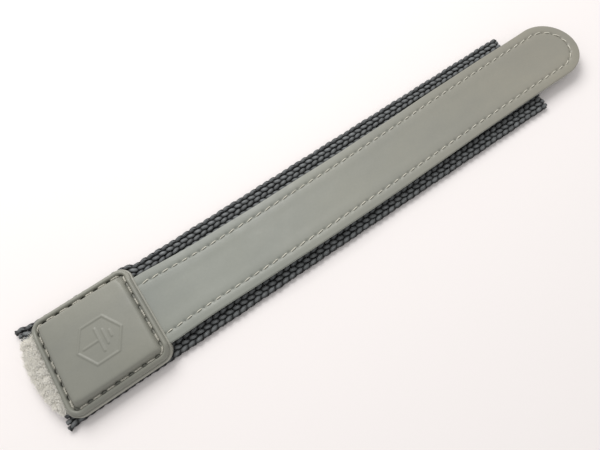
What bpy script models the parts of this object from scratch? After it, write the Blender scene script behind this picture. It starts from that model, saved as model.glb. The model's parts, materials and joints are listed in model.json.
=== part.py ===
"""Hook-and-loop wrist strap with a leatherette tongue and a padded square badge.

A woven webbing strap carries a loop-pile tape along its top face. A leatherette tongue with a hook
tape on its underside is sewn down at one end only, under the badge. The strap bends down round the
wrist at a chain of hinge lines, and the tongue peels up at hinge lines of its own.

Metres, +Z up, +X from the badge end to the tongue's round tip. The strap lies flat on z = 0, and
the origin is under the middle of the badge, on the webbing's centre line.
"""

import math

import bmesh
import bpy
from mathutils import Vector

MM = 0.001

# Driving dimensions.
WEBBING_WIDTH = 25.0 * MM
WEBBING_START = -15.4 * MM
WEBBING_END = 125.2 * MM
WEBBING_THICKNESS = 1.5 * MM
END_SLANT = 4.4 * MM
END_FLARE = 0.7 * MM
FLARE_LENGTH = 3.0 * MM

LAYER_GAP = 0.1 * MM
LOOP_TAPE_WIDTH = 15.0 * MM
LOOP_TAPE_THICKNESS = 0.55 * MM
LOOP_TAPE_START = -15.0 * MM
LOOP_TAPE_END = 119.5 * MM
HOOK_TAPE_WIDTH = 14.6 * MM
HOOK_TAPE_THICKNESS = 0.35 * MM
TUFT_WIDTH = 20.0 * MM
TUFT_START = -17.9 * MM
TUFT_END = -13.75 * MM
TUFT_HEIGHT = 2.1 * MM
TUFT_STEPS = 24
TUFT_END_SQUARENESS = 0.8
TUFT_SIDE_SQUARENESS = 0.5

TONGUE_WIDTH = 17.2 * MM
TONGUE_FLARE = 0.5 * MM
TONGUE_FLARE_END = 31.0 * MM
TONGUE_THICKNESS = 0.8 * MM
TONGUE_START = -10.0 * MM
TONGUE_TIP = 142.6 * MM
TONGUE_OFFSET = -0.75 * MM
TONGUE_WANDER = 0.55 * MM
TONGUE_WANDER_X = 57.0 * MM
TONGUE_WANDER_LENGTH = 75.0 * MM
SKIN_ROUND = 0.25 * MM

BADGE_CENTRE = Vector((-0.65 * MM, 0.2 * MM))
BADGE_LENGTH = 25.4 * MM
BADGE_WIDTH = 25.2 * MM
BADGE_CORNER = 3.2 * MM
BADGE_LEAST_CORNER = 1.0 * MM
BASE_THICKNESS = 0.5 * MM
BASE_CHANNEL_WIDTH = 19.6 * MM
COVER_THICKNESS = 0.7 * MM
RIM_WIDTH = 1.9 * MM
GROOVE_WIDTH = 0.9 * MM
GROOVE_DEPTH = 0.4 * MM
PAD_RISE = 0.6 * MM
THREAD_DIAMETER = 0.5 * MM
THREAD_SIDES = 8
EDGE_ROUND = 0.35 * MM

# Sections of the badge's padding: how far in from its own side, and its share of the full height.
FOAM_SECTION = [(0.0, 0.0), (0.1 * MM, 0.30), (0.8 * MM, 0.68), (2.6 * MM, 0.90), (5.0 * MM, 1.0)]
RECESS_SECTION = [(5.0 * MM, 1.0), (2.6 * MM, 0.93), (0.7 * MM, 0.72), (0.0, 0.34), (0.0, 0.0)]
PAD_SECTION = [(0.0, 0.0), (0.15 * MM, 0.45), (0.9 * MM, 0.76), (2.8 * MM, 0.94), (5.5 * MM, 1.0)]

# Hinge lines. The strap bends at WRAP_X, the tongue alone at TONGUE_WRAP_X and PEEL_X.
WRAP_FIRST = 18.5 * MM
WRAP_PITCH = 16.4 * MM
WRAP_COUNT = 7
WRAP_X = [WRAP_FIRST + WRAP_PITCH * number for number in range(WRAP_COUNT)]
TONGUE_WRAP_X = [130.5 * MM]
PEEL_BASE_X = 14.5 * MM
PEEL_COUNT = 4
PEEL_X = [PEEL_BASE_X] + [WRAP_FIRST + WRAP_PITCH * (number + 0.5) for number in range(PEEL_COUNT - 1)]
HINGE_GAP = 0.6 * MM

# Heights of the layers, from the face that the strap lies on.
WEBBING_TOP = WEBBING_THICKNESS
LOOP_BOTTOM = WEBBING_TOP + LAYER_GAP
LOOP_TOP = LOOP_BOTTOM + LOOP_TAPE_THICKNESS
HOOK_BOTTOM = LOOP_TOP + LAYER_GAP
HOOK_TOP = HOOK_BOTTOM + HOOK_TAPE_THICKNESS
TONGUE_BOTTOM = HOOK_TOP + LAYER_GAP
TONGUE_TOP = TONGUE_BOTTOM + TONGUE_THICKNESS
BASE_UNDERSIDE = TONGUE_TOP + LAYER_GAP
BASE_TOP = BASE_UNDERSIDE + BASE_THICKNESS
COVER_BOTTOM = BASE_TOP + LAYER_GAP
RIM_TOP = COVER_BOTTOM + COVER_THICKNESS + GROOVE_DEPTH
PAD_TOP = RIM_TOP + PAD_RISE

OUTLINE_STEP = 4.0 * MM
CORNER_STEPS = 5
TIP_STEPS = 18

# Colour, roughness.
WEBBING_FINISH = ((0.075, 0.085, 0.095), 0.85)
LOOP_FINISH = ((0.52, 0.49, 0.42), 0.95)
HOOK_FINISH = ((0.30, 0.30, 0.27), 0.60)
LEATHER_FINISH = ((0.31, 0.31, 0.26), 0.45)
FOAM_FINISH = ((0.55, 0.54, 0.50), 0.90)
THREAD_FINISH = ((0.50, 0.49, 0.42), 0.60)


def clear_scene():
    """Removes every object of the scene that the script starts in."""
    for item in list(bpy.data.objects):
        bpy.data.objects.remove(item, do_unlink=True)


def finish(item, look):
    """Gives an object a Principled material of its own."""
    colour, roughness = look
    material = bpy.data.materials.new(item.name + "_material")
    material.use_nodes = True
    shader = material.node_tree.nodes["Principled BSDF"]
    shader.inputs["Base Color"].default_value = (*colour, 1.0)
    shader.inputs["Roughness"].default_value = roughness
    shader.inputs["Metallic"].default_value = 0.0
    item.data.materials.append(material)


def add_object(name, mesh_data, look, parent):
    """Turns a bmesh in world coordinates into a smooth-shaded object under its parent empty."""
    mesh_data.normal_update()
    bmesh.ops.recalc_face_normals(mesh_data, faces=mesh_data.faces)
    mesh = bpy.data.meshes.new(name)
    origin = parent.matrix_world.translation if parent else Vector((0.0, 0.0, 0.0))
    bmesh.ops.translate(mesh_data, verts=mesh_data.verts, vec=-origin)
    mesh_data.to_mesh(mesh)
    mesh_data.free()
    item = bpy.data.objects.new(name, mesh)
    bpy.context.collection.objects.link(item)
    item.parent = parent
    mesh.shade_smooth()
    mesh.set_sharp_from_angle(angle=math.radians(35.0))
    finish(item, look)
    return item


def hinge_empty(name, x, z, parent):
    """An empty on a hinge line, which runs along Y at x and z."""
    empty = bpy.data.objects.new(name, None)
    bpy.context.collection.objects.link(empty)
    empty.empty_display_size = 5.0 * MM
    empty.parent = parent
    offset = parent.matrix_world.translation if parent else Vector((0.0, 0.0, 0.0))
    empty.location = Vector((x, 0.0, z)) - offset
    bpy.context.view_layer.update()
    return empty


def slab(outline, bottom, top, rounding):
    """A flat solid from a closed outline, with its top and bottom rims bevelled."""
    shape = bmesh.new()
    lower = shape.faces.new([shape.verts.new((x, y, bottom)) for x, y in outline])
    result = bmesh.ops.extrude_face_region(shape, geom=[lower])
    raised = [part for part in result["geom"] if isinstance(part, bmesh.types.BMVert)]
    bmesh.ops.translate(shape, verts=raised, vec=(0.0, 0.0, top - bottom))
    shape.normal_update()
    if rounding > 0.0:
        rims = [edge for edge in shape.edges if abs(edge.verts[0].co.z - edge.verts[1].co.z) < rounding]
        bmesh.ops.bevel(shape, geom=rims, offset=rounding, segments=2, profile=0.5, affect="EDGES")
    return shape


def stations(start, end):
    """Evenly spaced x values from start to end, about OUTLINE_STEP apart."""
    count = max(1, round((end - start) / OUTLINE_STEP))
    return [start + (end - start) * number / count for number in range(count + 1)]


def strip_outline(start, end, lower_edge, upper_edge):
    """The outline of a stretch of tape between two edge curves, anticlockwise from above."""
    places = stations(start, end)
    lower = [(x, lower_edge(x)) for x in places]
    upper = [(x, upper_edge(x)) for x in reversed(places)]
    return lower + upper


def segments(start, end, hinges):
    """Start and end of each stretch that the hinge lines cut a strip into, with a gap at each."""
    inside = [x for x in hinges if start < x < end]
    starts = [start] + [x + HINGE_GAP / 2 for x in inside]
    ends = [x - HINGE_GAP / 2 for x in inside] + [end]
    return list(zip(starts, ends))


def tongue_centre(x):
    """The tongue wanders gently to one side of the strap's centre line."""
    across = (x - TONGUE_WANDER_X) / TONGUE_WANDER_LENGTH
    return TONGUE_OFFSET - TONGUE_WANDER * math.cos(math.pi * min(1.0, abs(across)))


def tongue_half_width(x):
    """The tongue is a little wider where it leaves the badge."""
    near = max(0.0, (TONGUE_FLARE_END - x) / (TONGUE_FLARE_END - PEEL_BASE_X))
    return TONGUE_WIDTH / 2 + TONGUE_FLARE * min(1.0, near) ** 2


def webbing_half_width(x):
    """The webbing's cut end by the badge is spread a little."""
    near = max(0.0, 1.0 - (x - WEBBING_START) / FLARE_LENGTH)
    return WEBBING_WIDTH / 2 + END_FLARE * near * near


def webbing_outline(start, end):
    """A stretch of webbing, with the far end cut on a slant."""
    outline = strip_outline(start, end, lambda x: -webbing_half_width(x), webbing_half_width)
    if end >= WEBBING_END:
        half = WEBBING_WIDTH / 2
        slant = END_SLANT / 2
        outline = [(x + slant * y / half if x >= end else x, y) for x, y in outline]
    return outline


def tongue_outline(start, end, inset, shift=0.0):
    """A stretch of the tongue, or of a tape under it, with a round tip at the far end."""
    tip_radius = TONGUE_WIDTH / 2
    tip_centre_x = TONGUE_TIP - tip_radius

    def lower(x):
        return tongue_centre(x) + shift - tongue_half_width(x) + inset

    def upper(x):
        return tongue_centre(x) + shift + tongue_half_width(x) - inset

    if end < TONGUE_TIP - inset:
        return strip_outline(start, end, lower, upper)
    outline = strip_outline(start, tip_centre_x, lower, upper)
    middle = (lower(tip_centre_x) + upper(tip_centre_x)) / 2
    radius = tip_radius - inset
    bottom_run = outline[: len(outline) // 2]
    top_run = outline[len(outline) // 2 :]
    turn = [-math.pi / 2 + math.pi * step / TIP_STEPS for step in range(1, TIP_STEPS)]
    arc = [(tip_centre_x + radius * math.cos(a), middle + radius * math.sin(a)) for a in turn]
    return bottom_run + arc + top_run


def rounded_rectangle(length, width, corner):
    """Points of a rounded rectangle about the badge's centre."""
    points = []
    for quarter in range(4):
        sign_x = 1 if quarter in (0, 3) else -1
        sign_y = 1 if quarter in (0, 1) else -1
        centre = Vector((sign_x * (length / 2 - corner), sign_y * (width / 2 - corner)))
        for step in range(CORNER_STEPS + 1):
            angle = math.pi / 2 * (quarter + step / CORNER_STEPS)
            points.append(BADGE_CENTRE + centre + corner * Vector((math.cos(angle), math.sin(angle))))
    return points


def badge_ring(inset):
    """The badge's outline moved inwards by inset."""
    corner = max(BADGE_LEAST_CORNER, BADGE_CORNER - inset)
    return rounded_rectangle(BADGE_LENGTH - 2 * inset, BADGE_WIDTH - 2 * inset, corner)


def loft(profile, closed):
    """A solid through rings of (inset, z). An open profile is capped at both its ends."""
    shape = bmesh.new()
    rings = []
    for inset, z in profile:
        rings.append([shape.verts.new((point.x, point.y, z)) for point in badge_ring(inset)])
    count = len(rings[0])
    pairs = list(zip(rings, rings[1:]))
    if closed:
        pairs.append((rings[-1], rings[0]))
    for one, other in pairs:
        for index in range(count):
            following = (index + 1) % count
            shape.faces.new((one[index], one[following], other[following], other[index]))
    if not closed:
        shape.faces.new(rings[0])
        shape.faces.new(rings[-1])
    return shape


def boolean(item, cutter_shape, name, operation):
    """Cuts or joins another shape, through a hidden wireframe cutter object."""
    mesh = bpy.data.meshes.new(name)
    bmesh.ops.recalc_face_normals(cutter_shape, faces=cutter_shape.faces)
    cutter_shape.to_mesh(mesh)
    cutter_shape.free()
    cutter = bpy.data.objects.new(name, mesh)
    bpy.context.collection.objects.link(cutter)
    cutter.hide_render = True
    cutter.display_type = "WIRE"
    modifier = item.modifiers.new(name, "BOOLEAN")
    modifier.operation = operation
    modifier.solver = "EXACT"
    modifier.object = cutter


def make_hinges():
    """Empties on every hinge line, one chain for the webbing and one for the tongue."""
    webbing_chain = []
    parent = None
    for number, x in enumerate(WRAP_X, start=1):
        parent = hinge_empty("wrap_line_%d" % number, x, 0.0, parent)
        webbing_chain.append(parent)
    lines = [(x, 0.0) for x in WRAP_X + TONGUE_WRAP_X] + [(x, TONGUE_TOP) for x in PEEL_X]
    tongue_chain = []
    parent = None
    for number, (x, z) in enumerate(sorted(lines), start=1):
        parent = hinge_empty("tongue_line_%d" % number, x, z, parent)
        tongue_chain.append(parent)
    return webbing_chain, tongue_chain


def make_webbing(chain):
    """The woven strap, one slab between each pair of hinge lines."""
    for number, (start, end) in enumerate(segments(WEBBING_START, WEBBING_END, WRAP_X), start=1):
        shape = slab(webbing_outline(start, end), 0.0, WEBBING_TOP, SKIN_ROUND)
        parent = chain[number - 2] if number > 1 else None
        add_object("webbing_%d" % number, shape, WEBBING_FINISH, parent)


def tuft_shape():
    """The pile that swells out of the loop tape's cut end, as one rounded slab."""
    half = TUFT_WIDTH / 2
    middle = (TUFT_START + TUFT_END) / 2
    reach = (TUFT_END - TUFT_START) / 2
    angles = [2 * math.pi * step / TUFT_STEPS for step in range(TUFT_STEPS)]
    outline = []
    for angle in angles:
        along = math.copysign(abs(math.cos(angle)) ** TUFT_END_SQUARENESS, math.cos(angle))
        across = math.copysign(abs(math.sin(angle)) ** TUFT_SIDE_SQUARENESS, math.sin(angle))
        outline.append((middle + reach * along, half * across))
    return slab(outline, LOOP_BOTTOM, LOOP_BOTTOM + TUFT_HEIGHT, 3 * SKIN_ROUND)


def make_loop_tape(chain):
    """The pile tape on the webbing. Its first stretch ends in a tuft past the badge."""
    half = LOOP_TAPE_WIDTH / 2
    for number, (start, end) in enumerate(segments(LOOP_TAPE_START, LOOP_TAPE_END, WRAP_X), start=1):
        outline = strip_outline(start, end, lambda x: TONGUE_OFFSET - half, lambda x: TONGUE_OFFSET + half)
        shape = slab(outline, LOOP_BOTTOM, LOOP_TOP, 0.0)
        parent = chain[number - 2] if number > 1 else None
        item = add_object("loop_tape_%d" % number, shape, LOOP_FINISH, parent)
        if number == 1:
            boolean(item, tuft_shape(), "tuft", "UNION")


def make_tongue(chain):
    """The leatherette tongue and the hook tape under it, cut at every hinge line they cross."""
    lines = sorted(WRAP_X + TONGUE_WRAP_X + PEEL_X)
    inset = (TONGUE_WIDTH - HOOK_TAPE_WIDTH) / 2
    for number, (start, end) in enumerate(segments(TONGUE_START, TONGUE_TIP, lines), start=1):
        parent = chain[number - 2] if number > 1 else None
        shape = slab(tongue_outline(start, end, 0.0), TONGUE_BOTTOM, TONGUE_TOP, SKIN_ROUND)
        add_object("tongue_%d" % number, shape, LEATHER_FINISH, parent)
        tape_end = end if end < TONGUE_TIP else TONGUE_TIP - inset
        shape = slab(tongue_outline(start, tape_end, inset), HOOK_BOTTOM, HOOK_TOP, 0.0)
        add_object("hook_tape_%d" % number, shape, HOOK_FINISH, parent)


def make_badge_base():
    """The lower leather of the badge, a plate whose two sides come down to the webbing."""
    shape = slab([tuple(point) for point in badge_ring(0.0)], LOOP_BOTTOM, BASE_TOP, 0.0)
    item = add_object("badge_base", shape, LEATHER_FINISH, None)
    half = BASE_CHANNEL_WIDTH / 2
    reach = BADGE_LENGTH
    x = BADGE_CENTRE.x
    y = TONGUE_OFFSET + TONGUE_WANDER / 2
    corners = [(x - reach, y - half), (x + reach, y - half), (x + reach, y + half), (x - reach, y + half)]
    boolean(item, slab(corners, 0.0, BASE_UNDERSIDE, 0.0), "channel", "DIFFERENCE")


def make_badge_pad():
    """The foam core, a low dome that fills the recess in the cover."""
    side = RIM_WIDTH + GROOVE_WIDTH + COVER_THICKNESS + LAYER_GAP
    crown = PAD_TOP - COVER_THICKNESS - LAYER_GAP
    rise = crown - COVER_BOTTOM
    profile = [(side + inward, COVER_BOTTOM + share * rise) for inward, share in FOAM_SECTION]
    add_object("badge_foam", loft(profile, closed=False), FOAM_FINISH, None)


def make_badge_cover():
    """The upper leather: a rounded rim, a sewn groove and a puffed square over the foam."""
    inner = RIM_WIDTH + GROOVE_WIDTH
    recess = inner + COVER_THICKNESS
    groove_floor = RIM_TOP - GROOVE_DEPTH
    recess_rise = PAD_TOP - COVER_THICKNESS - COVER_BOTTOM
    pad_rise = PAD_TOP - groove_floor
    profile = [(recess + inward, COVER_BOTTOM + share * recess_rise) for inward, share in RECESS_SECTION]
    profile += [
        (EDGE_ROUND, COVER_BOTTOM),
        (0.0, COVER_BOTTOM + EDGE_ROUND),
        (0.3 * EDGE_ROUND, RIM_TOP - EDGE_ROUND),
        (1.4 * EDGE_ROUND, RIM_TOP - 0.2 * EDGE_ROUND),
        (RIM_WIDTH / 2, RIM_TOP),
        (RIM_WIDTH - 0.7 * EDGE_ROUND, RIM_TOP - 0.3 * EDGE_ROUND),
        (RIM_WIDTH, groove_floor),
    ]
    profile += [(inner + inward, groove_floor + share * pad_rise) for inward, share in PAD_SECTION]
    add_object("badge_cover", loft(profile, closed=False), LEATHER_FINISH, None)


def make_badge_thread():
    """The thread that lies in the badge's sewn groove, as one ring."""
    radius = THREAD_DIAMETER / 2
    middle = RIM_WIDTH + GROOVE_WIDTH / 2
    height = RIM_TOP - GROOVE_DEPTH + LAYER_GAP + radius
    angles = [2 * math.pi * side / THREAD_SIDES for side in range(THREAD_SIDES)]
    profile = [(middle + radius * math.cos(a), height + radius * math.sin(a)) for a in angles]
    add_object("badge_thread", loft(profile, closed=True), THREAD_FINISH, None)


def main():
    """Builds the strap, the tongue and the badge."""
    clear_scene()
    webbing_chain, tongue_chain = make_hinges()
    make_webbing(webbing_chain)
    make_loop_tape(webbing_chain)
    make_tongue(tongue_chain)
    make_badge_base()
    make_badge_pad()
    make_badge_cover()
    make_badge_thread()


main()
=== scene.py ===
"""The looks of the hook-and-loop wrist strap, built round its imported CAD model.

Lengths are in millimetres until make_piece() turns them into metres. Each flexible layer is one
shape along the strap, cut half way between neighbouring hinge lines into pieces that blend.
"""

import json
import math

import bmesh
import bpy
import numpy as np
from mathutils import Matrix, Vector


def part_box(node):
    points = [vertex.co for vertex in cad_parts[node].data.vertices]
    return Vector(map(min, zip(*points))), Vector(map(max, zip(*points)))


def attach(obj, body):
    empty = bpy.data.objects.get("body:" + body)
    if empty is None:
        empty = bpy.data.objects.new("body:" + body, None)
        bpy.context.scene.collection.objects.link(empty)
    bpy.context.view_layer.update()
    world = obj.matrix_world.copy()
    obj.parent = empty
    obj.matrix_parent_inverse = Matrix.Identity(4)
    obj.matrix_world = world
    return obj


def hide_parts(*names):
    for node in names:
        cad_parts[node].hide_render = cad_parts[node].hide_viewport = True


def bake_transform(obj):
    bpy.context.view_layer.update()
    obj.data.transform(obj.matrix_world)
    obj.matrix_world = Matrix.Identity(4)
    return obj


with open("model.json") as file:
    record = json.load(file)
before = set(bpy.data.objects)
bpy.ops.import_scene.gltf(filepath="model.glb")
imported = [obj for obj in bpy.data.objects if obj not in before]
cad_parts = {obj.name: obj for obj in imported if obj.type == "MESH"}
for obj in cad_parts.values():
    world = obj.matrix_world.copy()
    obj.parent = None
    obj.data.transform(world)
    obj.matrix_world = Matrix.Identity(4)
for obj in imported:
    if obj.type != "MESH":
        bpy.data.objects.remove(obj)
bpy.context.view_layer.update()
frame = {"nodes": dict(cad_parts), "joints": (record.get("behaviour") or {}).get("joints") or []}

MM = 0.001


def box_mm(node):
    """A CAD node's lowest and highest corner, in millimetres."""
    low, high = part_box(node)
    return low / MM, high / MM


# Sizes and places from the CAD model.
WEB_HIGH = box_mm("webbing_3")[1]
WEB_START = box_mm("webbing_1")[0].x
WEB_HALF = WEB_HIGH.y
WEB_THICK = WEB_HIGH.z
END_SLANT = 4.4
START_SLANT = 0.0765
NUB_REACH = 0.6
END_RAGGED = 0.4
WEB_END = box_mm("webbing_8")[1].x - END_SLANT / 2
END_FLARE = box_mm("webbing_1")[1].y - WEB_HALF
FLARE_LENGTH = 3.0
LOOP_LOW, LOOP_HIGH = box_mm("loop_tape_3")
LOOP_END = box_mm("loop_tape_8")[1].x
HOOK_LOW, HOOK_HIGH = box_mm("hook_tape_13")
TONGUE_LOW, TONGUE_HIGH = box_mm("tongue_13")
TONGUE_START = box_mm("tongue_1")[0].x
TONGUE_TIP = TONGUE_HIGH.x
TONGUE_HALF = (TONGUE_HIGH.y - TONGUE_LOW.y) / 2
TIP_CENTRE_X = TONGUE_TIP - TONGUE_HALF
HOOK_INSET = TONGUE_HALF - (HOOK_HIGH.y - HOOK_LOW.y) / 2
COVER_LOW, COVER_HIGH = box_mm("badge_cover")

# The tongue's gentle wander and its flare at the badge, as the CAD model has them.
TONGUE_OFFSET = -0.75
TONGUE_WANDER = 0.55
TONGUE_WANDER_X = 57.0
TONGUE_WANDER_LENGTH = 75.0
TONGUE_FLARE = 0.5
TONGUE_FLARE_START = 14.5
TONGUE_FLARE_END = 31.0

# Weave.
PICK = 1.95
COLUMNS = 21
COLUMN_PITCH = 2 * WEB_HALF / COLUMNS
WARP_RISE = 0.40
WARP_HALF_HEIGHT = WEB_THICK / 2 - WARP_RISE
WARP_HALF_WIDTH = 0.54
WARP_SLANT = 0.15
WARP_SQUARENESS = 0.48
WARP_RAGGED = 0.12
BADGE_SPREAD = 1.1
SPREAD_FADE = 1.5
WEFT_RISE = 0.26
WEFT_HALF_HEIGHT = 0.22
WEFT_HALF_WIDTH = 0.62
WEFT_MARGIN = 0.75
SELVEDGE_INSET = 0.52
SELVEDGE_SWING = 0.34
SELVEDGE_RADII = (0.20, 0.42)

# Tongue seam.
SEAM_INSET = 2.45
SEAM_PITCH = 2.55
SEAM_STITCH = 1.45
SEAM_SLANT = 0.13
SEAM_THREAD = 0.115
SEAM_START_X = 12.0
SEAM_GROOVE = 0.11
SEAM_DIMPLE = 0.16

# Badge.
BADGE_CENTRE = np.array([COVER_LOW.x + COVER_HIGH.x, COVER_LOW.y + COVER_HIGH.y]) / 2
BADGE_HALF = np.array([COVER_HIGH.x - COVER_LOW.x, COVER_HIGH.y - COVER_LOW.y]) / 2
BADGE_CORNER = 3.2
COVER_EDGE = 0.35
COVER_BELOW = 0.36
SIDE_LIFT = 0.75
GROOVE_INSET = 1.75
PAD_INSET = 2.0
PAD_HALF = BADGE_HALF - PAD_INSET
PAD_HEIGHT = COVER_HIGH.z - TONGUE_HIGH.z - 0.85
BADGE_STITCH_PITCH = 3.2
BADGE_STITCH = 2.15
BADGE_THREAD = 0.14
STRAND_TURN = 0.10
BADGE_HOLE = (0.85, 0.42)
BADGE_HOLE_DEPTH = 0.60
MARK_CENTRE = (0.6, -1.0)
MARK_SIZE = 5.3
MARK_LINE = 0.34
MARK_RISE = 0.13

# Pile and hooks. The density is loops to a square millimetre.
PILE_DENSITY = 4.0
PILE_FIBRE = 0.035
PILE_SPAN = (0.20, 0.42)
PILE_HEIGHT = (0.30, 0.46)
PILE_BACKING = 0.12
HOOK_PITCH = 0.95
HOOK_ROW = 0.85
HOOK_BEND = 0.13
HOOK_WIRE = 0.05

# Tuft at the loop tape's cut end.
TUFT_ROOT = BADGE_CENTRE[0] - BADGE_HALF[0] + 0.5
TUFT_MIDDLE = 0.5
TUFT_HALF = 9.5
TUFT_BULGE = 1.7
TUFT_PIECES = 3
TUFT_FIBRES = 3600
TUFT_FIBRE = 0.030
TUFT_LENGTH = (0.35, 1.25)

# Points nearer than this are joined.
WELD_DISTANCE = 0.002

RNG_SEED = 7


# Meshes.

def smooth(low, high, value):
    """0 below low, 1 above high, smooth between."""
    share = np.clip((value - low) / (high - low), 0.0, 1.0)
    return share * share * (3.0 - 2.0 * share)


def rows_of(*columns):
    """Rows made from columns, each repeated where it is shorter."""
    return np.stack(np.broadcast_arrays(*columns), axis=-1)


def quarter_turn(flat):
    """Flat vectors turned to the left."""
    return rows_of(-flat[..., 1], flat[..., 0])


def unit(vectors, tiny=0.0):
    """Vectors of length 1."""
    return vectors / (np.linalg.norm(vectors, axis=-1, keepdims=True) + tiny)


def travelled(path):
    """The distance along a path at each of its points."""
    return np.concatenate([[0.0], np.cumsum(np.linalg.norm(np.diff(path, axis=0), axis=1))])


def grid_faces(index, closed=False):
    """Quads between neighbouring rows of an index table. A closed table's columns wrap round."""
    if closed:
        index = np.concatenate([index, index[..., :1]], axis=-1)
    corners = [index[..., :-1, :-1], index[..., :-1, 1:], index[..., 1:, 1:], index[..., 1:, :-1]]
    return rows_of(*corners).reshape(-1, 4)


def numbered(*shape):
    """An index table that counts from 0."""
    return np.arange(math.prod(shape)).reshape(shape)


def tube_faces(index):
    """A closed tube's sides and its two end caps."""
    return [grid_faces(index, closed=True), index[:1, ::-1], index[-1:, :]]


def tubes(centres, radii, sides, hint=(0.0, 0.0, 1.0), tone=0.0):
    """Closed tubes through (tubes, rings, 3) centres. radii is one, or a pair along and across the hint."""
    along = unit(np.gradient(centres, axis=1), 1e-12)
    first = np.broadcast_to(hint, centres.shape)
    first = unit(first - along * np.sum(first * along, axis=2, keepdims=True), 1e-12)
    second = np.cross(along, first)
    turn = 2 * math.pi * np.arange(sides) / sides
    pair = radii if isinstance(radii, tuple) else (radii, radii)
    one, two = [np.broadcast_to(radius, centres.shape[:2])[:, :, None, None] for radius in pair]
    cos, sin = np.cos(turn)[:, None], np.sin(turn)[:, None]
    points = centres[:, :, None] + first[:, :, None] * one * cos + second[:, :, None] * two * sin
    index = numbered(*points.shape[:3])
    faces = [grid_faces(index, closed=True), index[:, 0, ::-1], index[:, -1, :]]
    tones = np.zeros(points.shape[:3]) + np.reshape(tone, (-1, 1, 1))
    return points.reshape(-1, 3), faces, tones.reshape(-1)


def join(parts):
    """Several (points, faces, tones) as one."""
    faces, count = [], 0
    for points, part_faces, _ in parts:
        faces += [part + count for part in part_faces if len(part)]
        count += len(points)
    return np.concatenate([part[0] for part in parts]), faces, np.concatenate([part[2] for part in parts])


def add_object(name, data):
    """A new object in the scene."""
    thing = bpy.data.objects.new(name, data)
    bpy.context.scene.collection.objects.link(thing)
    return thing


def clean_mesh(mesh, distance=0.0):
    """Turns the faces outward, after joining points nearer than a distance, if there is one."""
    work = bmesh.new()
    work.from_mesh(mesh)
    if distance:
        bmesh.ops.remove_doubles(work, verts=work.verts, dist=distance)
    bmesh.ops.recalc_face_normals(work, faces=work.faces)
    work.to_mesh(mesh)
    work.free()


def make_piece(name, shape, material, hole=None, weld=False, crease=40.0):
    """A mesh object in metres, with its rest place, its tones and its hole mask for painted shade as
    attributes.
    """
    points, faces, tones = shape
    mesh = bpy.data.meshes.new(name)
    loops = np.concatenate([part.reshape(-1) for part in faces])
    sizes = np.concatenate([np.full(len(part), part.shape[1]) for part in faces])
    mesh.vertices.add(len(points))
    mesh.vertices.foreach_set("co", (points * MM).astype(np.float32).reshape(-1))
    mesh.loops.add(len(loops))
    mesh.loops.foreach_set("vertex_index", loops.astype(np.int32))
    mesh.polygons.add(len(sizes))
    starts = np.concatenate([[0], np.cumsum(sizes)[:-1]])
    mesh.polygons.foreach_set("loop_start", starts.astype(np.int32))
    mesh.update(calc_edges=True)
    rest = mesh.attributes.new("rest", "FLOAT_VECTOR", "POINT")
    rest.data.foreach_set("vector", points.astype(np.float32).reshape(-1))
    for mark, values in (("tone", tones), ("hole", np.zeros(len(points)) if hole is None else hole)):
        mesh.attributes.new(mark, "FLOAT", "POINT").data.foreach_set("value", values.astype(np.float32))
    if weld:
        clean_mesh(mesh, WELD_DISTANCE * MM)
    mesh.validate()
    mesh.shade_smooth()
    mesh.set_sharp_from_angle(angle=math.radians(crease))
    piece = add_object(name, mesh)
    mesh.materials.append(material)
    return piece


# Materials.

LEATHER_LOW = (0.268, 0.272, 0.235)
LEATHER_HIGH = (0.290, 0.291, 0.245)
LEATHER_SPECK = (0.225, 0.228, 0.193)
LEATHER_CUT = (0.43, 0.425, 0.365)
# Painted shade: near-black in the needle holes, which the meshes show only as dips.
LEATHER_HOLE_SHADE = (0.010, 0.010, 0.009)
# The tongue's two tints paint light and shade along it: darker and cooler by the badge, lighter and warmer
# towards the tip. The badge's two tints are the same, one darker tone all over.
TONGUE_PAINTED_LIGHT_TINTS = ((0.91, 0.95, 1.0), (1.03, 0.975, 0.955))
BADGE_TINTS = ((0.85, 0.85, 0.86), (0.85, 0.85, 0.86))
PAINTED_LIGHT_START = 30.0
PAINTED_LIGHT_END = 130.0
SOCKET_NAMES = {
    "specular": "Specular IOR Level",
    "sheen": "Sheen Weight",
    "sheen_roughness": "Sheen Roughness",
}


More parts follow.
